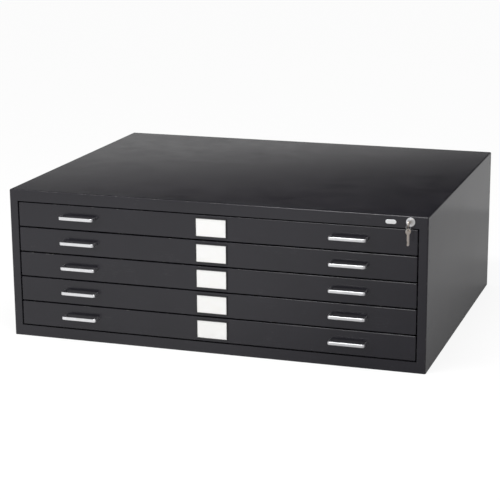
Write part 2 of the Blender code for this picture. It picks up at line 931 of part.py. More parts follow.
def key_hole():
    middle = (key_length - key_hole_inset, 0)
    return arc(middle, key_hole_radius, 0, 2 * math.pi - 2 * math.pi / coarse_sides, coarse_sides - 1)


def key_mesh():
    return plate([key_outline(), key_hole()], -key_sheet / 2, key_sheet / 2, "XY")


def ring_seat():
    """How far the ring's wire lies off the middle of a key's hole that hangs on it."""
    return key_hole_radius - ring_wire - seat_gap


def keys(core):
    mouth = plug_front()
    hole_y = mouth + key_inserted - (key_length - key_hole_inset)
    wire_z = lock_z - ring_seat()
    slide = pivot("key_slide", (0, mouth - front_y, 0), core)
    upright = Matrix.Rotation(-math.pi / 2, 4, "Z") @ Matrix.Rotation(math.pi / 2, 4, "X")
    first = key_mesh()
    first.transform(Matrix.Translation((lock_x, mouth + key_inserted, lock_z)) @ upright)
    placed("key", first, key_metal, slide)

    swing = pivot("ring_swing", (0, hole_y - mouth, wire_z - lock_z), slide)
    ring_z = wire_z - ring_radius
    wire = arc((ring_radius, 0), ring_wire, 0, 2 * math.pi - 2 * math.pi / wire_sides, wire_sides - 1)
    placed("key_ring", turned(wire, (lock_x, hole_y, ring_z), (0, 1, 0)), zinc, swing)

    hang = pivot("spare_hang", (0, 0, -ring_radius), swing)
    spare_hole_z = ring_z - ring_radius - (ring_seat() - spare_key_slack)
    spare = key_mesh()
    down = Matrix.Rotation(-spare_key_turn, 4, "Z") @ Matrix.Rotation(-math.pi / 2, 4, "Y")
    low = spare_hole_z - (key_length - key_hole_inset)
    spare.transform(Matrix.Translation((lock_x, hole_y, low)) @ down)
    placed("spare_key", spare, key_metal, hang)


case_wrapper()
base_pan()
back_panel()
front_frame()
runner_panel("left_runner_panel", -1)
runner_panel("right_runner_panel", 1)
rollers()
drawers()
badge_plate()
lock_housing()
lock_nut()
lock_core = pivot("lock_core", (lock_x, front_y, lock_z))
lock_plug(lock_core)
lock_cam(lock_core)
lock_bar(pivot("lock_bar_slide", (lock_x, bar_front, lock_z)))
keys(lock_core)
bpy.context.view_layer.update()
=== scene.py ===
"""Flat file cabinet: the finishes and the fine metalwork of a low steel case with five drawers.

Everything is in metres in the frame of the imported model: the origin is the middle of
the underside, +X runs along the width, the drawers open towards -Y and +Z is up.
"""

import json
import math

import bmesh
import bpy
from mathutils import Matrix, Vector

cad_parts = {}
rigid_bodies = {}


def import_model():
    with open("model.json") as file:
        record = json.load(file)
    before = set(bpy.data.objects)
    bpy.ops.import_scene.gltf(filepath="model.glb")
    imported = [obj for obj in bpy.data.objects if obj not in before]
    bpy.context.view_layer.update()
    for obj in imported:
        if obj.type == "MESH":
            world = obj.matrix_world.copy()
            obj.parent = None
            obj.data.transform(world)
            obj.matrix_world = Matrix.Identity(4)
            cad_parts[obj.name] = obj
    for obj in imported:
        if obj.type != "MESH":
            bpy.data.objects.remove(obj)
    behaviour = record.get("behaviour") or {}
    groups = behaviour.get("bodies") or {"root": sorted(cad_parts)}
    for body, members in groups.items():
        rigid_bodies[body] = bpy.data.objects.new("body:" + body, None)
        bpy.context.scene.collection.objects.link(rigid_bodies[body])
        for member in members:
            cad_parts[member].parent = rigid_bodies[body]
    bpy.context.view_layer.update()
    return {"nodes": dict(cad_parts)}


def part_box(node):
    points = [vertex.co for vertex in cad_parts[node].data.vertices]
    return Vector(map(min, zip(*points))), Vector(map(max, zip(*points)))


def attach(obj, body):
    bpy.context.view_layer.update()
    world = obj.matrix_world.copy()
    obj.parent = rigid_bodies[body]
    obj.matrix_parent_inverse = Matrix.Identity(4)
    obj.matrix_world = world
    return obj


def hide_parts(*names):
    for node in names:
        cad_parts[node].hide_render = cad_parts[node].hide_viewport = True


for old in list(bpy.data.objects):
    bpy.data.objects.remove(old, do_unlink=True)
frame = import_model()


# Case wrapper: one sheet of 0.9 mm steel folded into the top, the sides and the face
# round the drawers. It is degreased, sprayed with black enamel and stoved, which leaves
# a faint orange peel; the folds wear first and dust settles on the top.
case_sheet = 0.0009
case_fold = 0.004
case_fold_steps = 6
stile_width = 0.024
top_rail = 0.032
bottom_rail = 0.030
lock_hole = 0.0099
cut_length = 0.004
merge_gap = 0.00001
smooth_angle = math.radians(35)
facing_share = 0.9


def add_node(tree, kind, inputs=None, **settings):
    """A node of a tree, each of whose inputs is a value or another node's socket."""
    made = tree.nodes.new(kind)
    for name, value in settings.items():
        setattr(made, name, value)
    for name, value in (inputs or {}).items():
        if isinstance(value, bpy.types.NodeSocket):
            tree.links.new(value, made.inputs[name])
        else:
            made.inputs[name].default_value = value
    return made


def calculate(tree, operation, first, second=0.0):
    return add_node(tree, "ShaderNodeMath", {0: first, 1: second}, operation=operation).outputs[0]


def spread(tree, value, low, high, new_low=0.0, new_high=1.0):
    """The value carried over from one span to another, and held inside it."""
    ends = {"From Min": low, "From Max": high, "To Min": new_low, "To Max": new_high}
    return add_node(tree, "ShaderNodeMapRange", {"Value": value, **ends}).outputs["Result"]


def blend_colours(tree, share, first, second):
    inputs = {0: share}
    for place, colour in ((6, first), (7, second)):
        inputs[place] = colour if isinstance(colour, bpy.types.NodeSocket) else (*colour, 1)
    return add_node(tree, "ShaderNodeMix", inputs, data_type="RGBA").outputs[2]


def noise(tree, places, grain, detail=2.0, rough=0.5):
    """Soft noise whose lumps are about as wide as the grain."""
    inputs = {"Vector": places, "Scale": 1 / grain, "Detail": detail, "Roughness": rough}
    return add_node(tree, "ShaderNodeTexNoise", inputs).outputs["Fac"]


def lumps(tree, places, size, detail, rough=0.5):
    """Soft noise whose lumps follow one of a group's own sizes."""
    scale = calculate(tree, "DIVIDE", 1.0, size)
    inputs = {"Vector": places, "Scale": scale, "Detail": detail, "Roughness": rough}
    return add_node(tree, "ShaderNodeTexNoise", inputs).outputs["Fac"]


def new_group(name, sizes, results):
    """A shader group of named numbers in and named results out, with its two end nodes."""
    tree = bpy.data.node_groups.new(name, "ShaderNodeTree")
    tree.interface.new_socket("Place", in_out="INPUT", socket_type="NodeSocketVector")
    for label, size in sizes.items():
        kind = "NodeSocketFloat" if isinstance(size, (int, float)) else "NodeSocketVector"
        tree.interface.new_socket(label, in_out="INPUT", socket_type=kind).default_value = size
    for label in results:
        tree.interface.new_socket(label, in_out="OUTPUT", socket_type="NodeSocketFloat")
    start = tree.nodes.new("NodeGroupInput")
    end = tree.nodes.new("NodeGroupOutput")
    return tree, start.outputs, end.inputs


def grouped(tree, group, inputs):
    return add_node(tree, "ShaderNodeGroup", inputs, node_tree=group).outputs


# Orange peel: the small dimples that a sprayed and stoved film dries with
peel_tree, given, result = new_group("orange_peel", {"Dimple": 0.0022}, ["Height"])
dimples = lumps(peel_tree, given["Place"], given["Dimple"], detail=1.0)
peel_tree.links.new(dimples, result["Height"])

# Uneven gloss: broad soft patches where the film is thicker or has been wiped
patch_edges = (0.3, 0.7)
patch_tree, given, result = new_group("uneven_gloss", {"Patch": 0.18}, ["Patches"])
broad = lumps(patch_tree, given["Place"], given["Patch"], detail=4.0)
patch_tree.links.new(spread(patch_tree, broad, *patch_edges), result["Patches"])

# Fine rubs: thin broken lines that sheets, boxes and sleeves leave, in two directions,
# and only inside the patches that were rubbed
rub_directions = ((0.35, 28.0), (2.05, 22.0))
rub_line = 0.006
rub_patch = 0.09
rub_rarest = 0.75
rub_more = 0.3
rub_tree, given, result = new_group("fine_rubs", {"Length": 0.12, "Amount": 0.5}, ["Lines"])
found = []
for turn, stretch in rub_directions:
    laid = {"Vector": given["Place"], "Rotation": (turn, turn / 3, turn), "Scale": (1.0, stretch, stretch)}
    laid = add_node(rub_tree, "ShaderNodeMapping", laid).outputs[0]
    lines = lumps(rub_tree, laid, given["Length"], detail=2.0)
    off_middle = calculate(rub_tree, "ABSOLUTE", calculate(rub_tree, "SUBTRACT", lines, 0.5))
    found.append(spread(rub_tree, off_middle, 0.0, rub_line, 1.0, 0.0))
where = noise(rub_tree, given["Place"], rub_patch, detail=3.0)
gate = calculate(rub_tree, "MULTIPLY", given["Amount"], rub_more)
gate = calculate(rub_tree, "GREATER_THAN", where, calculate(rub_tree, "SUBTRACT", rub_rarest, gate))
both = calculate(rub_tree, "MAXIMUM", *found)
rub_tree.links.new(calculate(rub_tree, "MULTIPLY", both, gate), result["Lines"])

# Settled dust: on what looks up, in thin drifts
dust_slope = (0.6, 1.0)
drift_edges = (0.35, 0.75)
drift_rough = 0.62
dust_tree, given, result = new_group("settled_dust", {"Drift": 0.05}, ["Dust"])
normal = add_node(dust_tree, "ShaderNodeNewGeometry").outputs["Normal"]
upward = add_node(dust_tree, "ShaderNodeSeparateXYZ", {0: normal}).outputs["Z"]
upward = spread(dust_tree, upward, *dust_slope)
drifts = lumps(dust_tree, given["Place"], given["Drift"], detail=8.0, rough=drift_rough)
drifts = spread(dust_tree, drifts, *drift_edges)
dust_tree.links.new(calculate(dust_tree, "MULTIPLY", upward, drifts), result["Dust"])

# Worn edges: where two outer faces of a box meet, broken up by what has knocked them
knock_size = 0.012
knock_rough = 0.65
knock_edges = (0.42, 0.72)
knock_reach = 2.4
worn_sizes = {"Centre": (0.0, 0.0, 0.0), "Half size": (1.0, 1.0, 1.0), "Width": 0.001}
worn_tree, given, result = new_group("worn_edges", worn_sizes, ["Worn"])
offset = {0: given["Place"], 1: given["Centre"]}
offset = add_node(worn_tree, "ShaderNodeVectorMath", offset, operation="SUBTRACT").outputs[0]
offset = add_node(worn_tree, "ShaderNodeVectorMath", {0: offset}, operation="ABSOLUTE").outputs[0]
inset = {0: given["Half size"], 1: offset}
inset = add_node(worn_tree, "ShaderNodeVectorMath", inset, operation="SUBTRACT").outputs[0]
x, y, z = add_node(worn_tree, "ShaderNodeSeparateXYZ", {0: inset}).outputs
nearest = calculate(worn_tree, "MAXIMUM", x, y)
for first, second in ((y, z), (x, z)):
    nearest = calculate(worn_tree, "MINIMUM", nearest, calculate(worn_tree, "MAXIMUM", first, second))
knocks = noise(worn_tree, given["Place"], knock_size, detail=6.0, rough=knock_rough)
knocks = spread(worn_tree, knocks, *knock_edges, 0.0, knock_reach)
reach = calculate(worn_tree, "MULTIPLY", given["Width"], knocks)
worn_tree.links.new(calculate(worn_tree, "LESS_THAN", nearest, reach), result["Worn"])


def new_material(name, metallic=0.0):
    """A material, with its tree, its shader and the place on the piece that it reads."""
    material = bpy.data.materials.new(name)
    material.use_nodes = True
    tree = material.node_tree
    shader = tree.nodes["Principled BSDF"]
    shader.inputs["Metallic"].default_value = metallic
    place = add_node(tree, "ShaderNodeTexCoord").outputs["Object"]
    return material, tree, shader, place


def dimpled(tree, shader, height, depth):
    """Gives the surface a relief of this depth."""
    bump = add_node(tree, "ShaderNodeBump", {"Height": height, "Distance": depth, "Strength": 1.0})
    tree.links.new(bump.outputs["Normal"], shader.inputs["Normal"])


film_patch = 0.2
thick_film = 1.25
film_swing = 0.02
film_shine = 0.40
peel_dimple = 0.0024
peel_depth = 0.00003
rub_length = 0.12
rub_show = 0.35
rub_grey = (0.06, 0.06, 0.065)
rub_polish = 0.08
dust_drift = 0.06
dust_grey = (0.20, 0.19, 0.18)
dust_dulls = 2
worn_show = 0.75
worn_grey = (0.10, 0.098, 0.095)
worn_dulls = 0.08


def enamel(name, colour, roughness, dust, rubs, box=None, wear=0.0):
    """Black stove enamel. The box, a centre and half sizes, says where its outer edges wear."""
    material, tree, shader, place = new_material(name)
    patches = grouped(tree, patch_tree, {"Place": place, "Patch": film_patch})["Patches"]
    lines = grouped(tree, rub_tree, {"Place": place, "Length": rub_length, "Amount": rubs})["Lines"]
    settled = grouped(tree, dust_tree, {"Place": place, "Drift": dust_drift})["Dust"]
    peel = grouped(tree, peel_tree, {"Place": place, "Dimple": peel_dimple})["Height"]
    shade = blend_colours(tree, patches, colour, tuple(share * thick_film for share in colour))
    shade = blend_colours(tree, calculate(tree, "MULTIPLY", lines, rub_show), shade, rub_grey)
    shade = blend_colours(tree, calculate(tree, "MULTIPLY", settled, dust), shade, dust_grey)
    gloss = spread(tree, patches, 0.0, 1.0, roughness - film_swing, roughness + film_swing)
    gloss = calculate(tree, "ADD", gloss, calculate(tree, "MULTIPLY", settled, dust * dust_dulls))
    gloss = calculate(tree, "SUBTRACT", gloss, calculate(tree, "MULTIPLY", lines, rub_polish))
    if box:
        centre, half = box
        sizes = {"Place": place, "Centre": centre, "Half size": half, "Width": wear}
        worn = grouped(tree, worn_tree, sizes)["Worn"]
        shade = blend_colours(tree, calculate(tree, "MULTIPLY", worn, worn_show), shade, worn_grey)
        gloss = calculate(tree, "ADD", gloss, calculate(tree, "MULTIPLY", worn, worn_dulls))
    tree.links.new(shade, shader.inputs["Base Color"])
    tree.links.new(gloss, shader.inputs["Roughness"])
    shader.inputs["Specular IOR Level"].default_value = film_shine
    dimpled(tree, shader, peel, peel_depth)
    return material


def sheet_box(low, high, open_ways=()):
    """An open box of sheet: its surface, without the faces that look the open ways."""
    low, high = Vector(low), Vector(high)
    bm = bmesh.new()
    bmesh.ops.create_cube(bm, size=1)
    bmesh.ops.scale(bm, vec=high - low, verts=bm.verts)
    bmesh.ops.translate(bm, vec=(low + high) / 2, verts=bm.verts)
    bm.normal_update()
    ways = [Vector(way) for way in open_ways]
    gone = [face for face in bm.faces if any(face.normal.dot(way) > facing_share for way in ways)]
    bmesh.ops.delete(bm, geom=gone, context="FACES")
    return bm


def fold(bm, radius, steps):
    """Rounds the folds of a sheet and leaves its cut edges."""
    shared = [edge for edge in bm.edges if len(edge.link_faces) == 2]
    folds = [edge for edge in shared if edge.calc_face_angle() > smooth_angle]
    bmesh.ops.bevel(bm, geom=folds, offset=radius, segments=steps, profile=0.5, affect="EDGES")


def in_scene(mesh, name="work"):
    obj = bpy.data.objects.new(name, mesh)
    bpy.context.scene.collection.objects.link(obj)
    return obj


def as_mesh(bm):
    mesh = bpy.data.meshes.new("work")
    bm.to_mesh(mesh)
    bm.free()
    return mesh


def from_bmesh(bm):
    return in_scene(as_mesh(bm))


def applied(obj):
    """The object's mesh as its modifiers leave it. The object itself goes."""
    graph = bpy.context.evaluated_depsgraph_get()
    mesh = bpy.data.meshes.new_from_object(obj.evaluated_get(graph))
    bpy.data.objects.remove(obj)
    return mesh


def thicken(obj, thickness):
    solid = obj.modifiers.new("Sheet", "SOLIDIFY")
    solid.thickness = thickness
    solid.offset = -1
    solid.use_even_offset = True


def cut(obj, cutters):
    """Cuts other solids out of the object. They go once the cut is made."""
    for cutter in cutters:
        modifier = obj.modifiers.new("Cut", "BOOLEAN")
        modifier.operation = "DIFFERENCE"
        modifier.solver = "EXACT"
        modifier.object = cutter
    mesh = applied(obj)
    for cutter in cutters:
        bpy.data.objects.remove(cutter)
    return mesh


def disc(centre, radius, length, sides=48):
    """A solid disc whose axis runs along Y, centred on a point."""
    bm = bmesh.new()
    bmesh.ops.create_cone(bm, cap_ends=True, segments=sides, radius1=radius, radius2=radius, depth=length)
    place = Matrix.Translation(centre) @ Matrix.Rotation(math.pi / 2, 4, "X")
    bmesh.ops.transform(bm, matrix=place, verts=bm.verts)
    return from_bmesh(bm)


def fitted(name, mesh, material, body, slot, *nodes):
    """A finished piece on its body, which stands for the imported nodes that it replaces."""
    mesh.materials.clear()
    mesh.materials.append(material)
    mesh.shade_smooth()
    mesh.set_sharp_from_angle(angle=smooth_angle)
    obj = in_scene(mesh, name)
    even = obj.modifiers.new("Even shading", "WEIGHTED_NORMAL")
    even.keep_sharp = True
    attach(obj, body)
    if nodes:
        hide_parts(*nodes)
    return obj


def middle_and_half(low, high):
    return tuple((low + high) / 2), tuple((high - low) / 2)


outer_black = (0.0120, 0.0112, 0.0150)
case_low, case_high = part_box("case_wrapper")
edges = {"box": middle_and_half(case_low, case_high), "wear": 0.0011}
case_enamel = enamel("case_enamel", outer_black, roughness=0.18, dust=0.03, rubs=0.4, **edges)
lock_low, lock_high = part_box("lock_housing")
lock_centre = Vector(((lock_low.x + lock_high.x) / 2, case_low.y, (lock_low.z + lock_high.z) / 2))
wrapper = sheet_box(case_low, case_high, [(0, 0, -1), (0, 1, 0)])
fold(wrapper, case_fold, case_fold_steps)
wrapper = from_bmesh(wrapper)
thicken(wrapper, case_sheet)
first_corner = (case_low.x + stile_width, case_low.y - cut_length, bottom_rail)
last_corner = (case_high.x - stile_width, case_low.y + case_fold + cut_length, case_high.z - top_rail)
opening = from_bmesh(sheet_box(first_corner, last_corner))
wrapper_mesh = cut(wrapper, [opening, disc(lock_centre, lock_hole, 2 * cut_length)])
fitted("case_shell", wrapper_mesh, case_enamel, "case", "black_paint", "case_wrapper")


# Base pan, back panel and front frame: inner pressings in the same enamel, spot-welded
# into the wrapper. The back panel is a shallow pan and the frame an angle ring.
inner_black = (0.0180, 0.0170, 0.0215)
inner_enamel = enamel("inner_enamel", inner_black, roughness=0.36, dust=0.04, rubs=0.6)


def coat(node, material):
    """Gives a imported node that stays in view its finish."""
    for slot in frame["nodes"][node].material_slots:
        slot.material = material


for node in ("base_pan", "back_panel", "front_frame"):
    coat(node, inner_enamel)


# Weld marks: the case is spot-welded from outside where its sheets overlap, and each weld
# leaves a shallow round dish with a raised rim under the enamel
weld_radius = 0.003
weld_rim = 0.00022
weld_dish = 0.00005
weld_slope = (0.8, 0.6, 0.45)
weld_facets = 20
weld_pitch = 0.080
back_flange_middle = 0.0075
base_edge_middle = 0.010
runner_leg_place = 0.0215
corner_clear = 0.030
shape_sockets = {
    int: "NodeSocketInt",
    float: "NodeSocketFloat",
    tuple: "NodeSocketVector",
    bpy.types.Object: "NodeSocketObject",
    bpy.types.Material: "NodeSocketMaterial",
}


def turned(profile, centre, axis, facets):
    """A closed profile of (radius, place along the axis) points, turned about the axis."""
    bm = bmesh.new()
    rings = []
    for n in range(facets):
        angle = 2 * math.pi * n / facets
        ring = [bm.verts.new((r * math.cos(angle), r * math.sin(angle), along)) for r, along in profile]
        rings.append(ring)
    for n, ring in enumerate(rings):
        after = rings[(n + 1) % facets]
        for k in range(len(profile)):
            m = (k + 1) % len(profile)
            bm.faces.new((ring[k], after[k], after[m], ring[m]))
    bmesh.ops.remove_doubles(bm, verts=bm.verts, dist=merge_gap)
    bmesh.ops.dissolve_degenerate(bm, dist=merge_gap, edges=bm.edges)
    bmesh.ops.recalc_face_normals(bm, faces=bm.faces)
    turn = Vector((0, 0, 1)).rotation_difference(Vector(axis)).to_matrix().to_4x4()
    bmesh.ops.transform(bm, matrix=Matrix.Translation(centre) @ turn, verts=bm.verts)
    return bm


def new_shape_tree(name, sizes):
    """A geometry tree with a shape in, named sizes, and a shape out."""
    tree = bpy.data.node_groups.new(name, "GeometryNodeTree")
    tree.interface.new_socket("Shape", in_out="INPUT", socket_type="NodeSocketGeometry")
    for label, size in sizes.items():
        kind = shape_sockets[type(size)]
        socket = tree.interface.new_socket(label, in_out="INPUT", socket_type=kind)
        socket.default_value = size
    tree.interface.new_socket("Shape", in_out="OUTPUT", socket_type="NodeSocketGeometry")
    return tree, tree.nodes.new("NodeGroupInput").outputs, tree.nodes.new("NodeGroupOutput").inputs


def shaped(obj, tree, sizes):
    """The mesh that a geometry tree makes of the object, with its inputs set by identifier."""
    modifier = obj.modifiers.new("Shape", "NODES")
    modifier.node_group = tree
    for item in tree.interface.items_tree:
        if item.in_out == "INPUT" and item.name in sizes:
            modifier[item.identifier] = sizes[item.name]
    return applied(obj)


def finish_shape(tree, shape, material, end):
    """The last nodes of a tree: its instances made real, and its material."""
    real = add_node(tree, "GeometryNodeRealizeInstances", {"Geometry": shape}).outputs[0]
    painted = add_node(tree, "GeometryNodeSetMaterial", {"Geometry": real, "Material": material}).outputs[0]
    tree.links.new(painted, end["Shape"])


def polyline(points):
    """A chain of edges for a tree to follow."""
    mesh = bpy.data.meshes.new("path")
    mesh.from_pydata(points, [(n, n + 1) for n in range(len(points) - 1)], [])
    return in_scene(mesh)


weld_section = [(0, -weld_dish), (weld_radius, -weld_dish), (weld_radius, 0)]
rises = (weld_rim, weld_rim, weld_dish)
weld_section += [(share * weld_radius, rise) for share, rise in zip(weld_slope, rises)]
weld_section += [(0, weld_dish)]
weld = from_bmesh(turned(weld_section, Vector(), (0, 0, 1), weld_facets))
row_sizes = {"Piece": weld, "Count": 2, "Outward": (0.0, 0.0, 1.0), "Seed": 1, "Finish": case_enamel}
row_tree, given, result = new_shape_tree("row_of_pieces", row_sizes)
path = add_node(row_tree, "GeometryNodeMeshToCurve", {"Mesh": given["Shape"]}).outputs[0]
path = add_node(row_tree, "GeometryNodeResampleCurve", {"Curve": path, "Count": given["Count"]}).outputs[0]
piece = add_node(row_tree, "GeometryNodeObjectInfo", {"Object": given["Piece"]}).outputs["Geometry"]
angle = {"Min": 0.0, "Max": 2 * math.pi, "Seed": given["Seed"]}
angle = add_node(row_tree, "FunctionNodeRandomValue", angle, data_type="FLOAT").outputs["Value"]
twist = add_node(row_tree, "FunctionNodeAxisAngleToRotation", {"Axis": (0, 0, 1), "Angle": angle}).outputs[0]
upright = {"Vector": given["Outward"]}
upright = add_node(row_tree, "FunctionNodeAlignRotationToVector", upright, axis="Z").outputs[0]
turn = {"Rotation": upright, "Rotate By": twist}
turn = add_node(row_tree, "FunctionNodeRotateRotation", turn, rotation_space="LOCAL").outputs[0]
row = {"Points": path, "Instance": piece, "Rotation": turn}
row = add_node(row_tree, "GeometryNodeInstanceOnPoints", row).outputs[0]
finish_shape(row_tree, row, given["Finish"], result)


def joined(meshes):
    bm = bmesh.new()
    for mesh in meshes:
        bm.from_mesh(mesh)
        bpy.data.meshes.remove(mesh)
    return as_mesh(bm)


def weld_row(start, end, outward):
    count = round((Vector(end) - Vector(start)).length / weld_pitch) + 1
    return shaped(polyline([start, end]), row_tree, {"Piece": weld, "Count": count, "Outward": outward})


near, far = case_low.y + runner_leg_place, case_high.y - runner_leg_place
back, base, top = case_high.y - back_flange_middle, base_edge_middle, case_high.z - corner_clear
left, right = case_low.x + corner_clear, case_high.x - corner_clear
rows = [weld_row((left, back, case_high.z), (right, back, case_high.z), (0.0, 0.0, 1.0))]
for side in (-1, 1):
    wall = side * case_high.x
    outward = (float(side), 0.0, 0.0)
    for y in (near, far, back):
        rows.append(weld_row((wall, y, corner_clear), (wall, y, top), outward))
    rows.append(weld_row((wall, near + corner_clear, base), (wall, far - corner_clear, base), outward))
fitted("case_welds", joined(rows), case_enamel, "case", "black_paint")
bpy.data.objects.remove(weld)


# Runner panels, lock bar, cam and nut: bright zinc-plated steel with a passivated film,
# in which the grains of the plating show as faint patches
zinc_tones = (0.50, 0.51, 0.53), (0.60, 0.61, 0.62)
zinc_roughness = (0.30, 0.42)
zinc_grains_per_metre = 140.0
zinc_relief = 0.000006
film_tone = (0.56, 0.54, 0.44)
film_show = 0.35


def plated(tree, shader, shade, share, roughness, rubs, rub_dulls):
    """Colour and gloss of a metal. The gloss follows the share, and fine rubs dull it."""
    lines = grouped(tree, rub_tree, rubs)["Lines"]
    gloss = spread(tree, share, 0.0, 1.0, *roughness)
    gloss = calculate(tree, "ADD", gloss, calculate(tree, "MULTIPLY", lines, rub_dulls))
    tree.links.new(shade, shader.inputs["Base Color"])
    tree.links.new(gloss, shader.inputs["Roughness"])


zinc_finish, tree, shader, place = new_material("zinc_plate", 1.0)
grains = {"Vector": place, "Scale": zinc_grains_per_metre, "Randomness": 1.0}
grains = add_node(tree, "ShaderNodeTexVoronoi", grains)
grain_tone = add_node(tree, "ShaderNodeSeparateColor", {0: grains.outputs["Color"]}).outputs["Red"]
film = grouped(tree, patch_tree, {"Place": place, "Patch": 0.05})["Patches"]
shade = blend_colours(tree, grain_tone, *zinc_tones)
shade = blend_colours(tree, calculate(tree, "MULTIPLY", film, film_show), shade, film_tone)
rubs = {"Place": place, "Length": 0.08, "Amount": 0.8}
plated(tree, shader, shade, grain_tone, zinc_roughness, rubs, rub_dulls=0.15)
dimpled(tree, shader, grain_tone, zinc_relief)
for node in ("left_runner_panel", "right_runner_panel", "lock_bar", "lock_cam", "lock_nut"):
    coat(node, zinc_finish)


# Front rollers: turned nylon wheels on the panels' studs. The tread is crowned, the hub
# stands a little inside the rim, and the drawer's rail has greyed the tread.
roller_radius = 0.009
roller_bore = 0.0033
roller_hub = 0.0052
roller_dish = 0.0008
roller_edge = 0.0009
roller_crown = 0.00012
roller_facets = 48
nylon_tones = (0.60, 0.59, 0.55), (0.67, 0.66, 0.61)
nylon_roughness = (0.42, 0.52)
nylon_relief = 0.00002
grime_tone = (0.20, 0.19, 0.17)
grime_show = 0.5
nylon_finish, tree, shader, place = new_material("nylon")
cloud = grouped(tree, patch_tree, {"Place": place, "Patch": 0.006})["Patches"]
grime = grouped(tree, dust_tree, {"Place": place, "Drift": 0.004})["Dust"]
shade = blend_colours(tree, cloud, *nylon_tones)
shade = blend_colours(tree, calculate(tree, "MULTIPLY", grime, grime_show), shade, grime_tone)
tree.links.new(shade, shader.inputs["Base Color"])
tree.links.new(spread(tree, cloud, 0.0, 1.0, *nylon_roughness), shader.inputs["Roughness"])
dimpled(tree, shader, cloud, nylon_relief)


def quarter(centre, radius, start, end, steps=5):
    """Points of a rounding, as (radius, along), from one angle to another in degrees."""
    angles = [math.radians(start + (end - start) * n / steps) for n in range(steps + 1)]
    return [(centre[0] + radius * math.cos(a), centre[1] + radius * math.sin(a)) for a in angles]


def roller(node):
    low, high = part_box(node)
    half = (high.x - low.x) / 2
    sunk, shoulder = half - roller_dish, roller_radius - roller_edge
    profile = [(roller_bore, -sunk), (roller_hub, -sunk), (roller_hub + roller_dish, -half)]
    profile += quarter((shoulder, -half + roller_edge), roller_edge, -90, 0)
    profile += [(roller_radius + roller_crown, 0.0)]
    profile += quarter((shoulder, half - roller_edge), roller_edge, 0, 90)
    profile += [(roller_hub + roller_dish, half), (roller_hub, sunk), (roller_bore, sunk)]
    return as_mesh(turned(profile, (low + high) / 2, (1, 0, 0), roller_facets))


drawer_numbers = range(1, 6)
for side in ("left", "right"):
    for number in drawer_numbers:
        body, node = f"roller_{side}_{number}", f"front_roller_{side}_{number}"
        fitted(f"nylon_{body}", roller(node), nylon_finish, body, "nylon", node)


# Drawer trays and sheet depressors: 0.75 mm steel pans with welded rails and a rear hood,
# and a hinged bent sheet that keeps the paper flat. The rims are hemmed, so that they do not
# cut, and two screws for each handle come through the front wall.
tray_sheet = 0.00075
tray_side_room = 0.04295
tray_corner = 0.002
hood_depth = 0.100
hem_thickness = 0.0014
hem_height = 0.006
hem_edge = 0.00065
hem_proud = 0.0001
bend_steps = 8
edge_steps = 4
screw_radius = 0.0039
screw_rise = 0.0023
screw_crown_angles = (0.0, 0.35, 0.7, 1.05, 1.35)
screw_facets = 24
screw_inset = 0.00225
recess_reach = 0.0023
recess_width = 0.0008
recess_depth = 0.0013
tray_enamel = enamel("tray_enamel", inner_black, roughness=0.34, dust=0.03, rubs=1.0)
bar_sizes = {"Bar": hem_thickness, "Height": hem_height, "Bend": tray_corner, "Edge": hem_edge}
bar_tree, given, result = new_shape_tree("bar_on_a_path", {**bar_sizes, "Finish": tray_enamel})
path = add_node(bar_tree, "GeometryNodeMeshToCurve", {"Mesh": given["Shape"]}).outputs[0]
bend = calculate(bar_tree, "SUBTRACT", given["Bend"], calculate(bar_tree, "DIVIDE", given["Bar"], 2.0))
path = {"Curve": path, "Count": bend_steps, "Radius": bend}
path = add_node(bar_tree, "GeometryNodeFilletCurve", path, mode="POLY").outputs[0]
path = add_node(bar_tree, "GeometryNodeSetCurveNormal", {"Curve": path}, mode="Z_UP").outputs[0]
section = {"Width": given["Bar"], "Height": given["Height"]}
section = add_node(bar_tree, "GeometryNodeCurvePrimitiveQuadrilateral", section).outputs[0]
section = {"Curve": section, "Count": edge_steps, "Radius": given["Edge"]}
section = add_node(bar_tree, "GeometryNodeFilletCurve", section, mode="POLY").outputs[0]
swept = {"Curve": path, "Profile Curve": section, "Fill Caps": True}
swept = add_node(bar_tree, "GeometryNodeCurveToMesh", swept).outputs[0]
finish_shape(bar_tree, swept, given["Finish"], result)


def cross_head():
    """A pan head with a cross recess, whose seat is at the origin."""
    crown = [(screw_radius * math.cos(a), screw_rise * math.sin(a)) for a in screw_crown_angles]
    crown = [(0, -hem_proud)] + crown + [(0, screw_rise)]
    head = from_bmesh(turned(crown, Vector(), (0, 0, 1), screw_facets))
    arms = []
    for x, y in ((recess_reach, recess_width / 2), (recess_width / 2, recess_reach)):
        low, high = (-x, -y, screw_rise - recess_depth), (x, y, screw_rise + recess_depth)
        arms.append(from_bmesh(sheet_box(low, high)))
    return in_scene(cut(head, arms), "cross_head")


def hem_mesh(low, high):
    """The folded rim of a tray, along both sides and the front."""
    out = hem_thickness / 2 - hem_proud
    rise = high.z - hem_height / 2 + hem_proud
    left, right, front, rear = low.x + out, high.x - out, low.y + out, high.y - hood_depth
    corners = [(left, rear, rise), (left, front, rise), (right, front, rise), (right, rear, rise)]
    return shaped(polyline(corners), bar_tree, {})


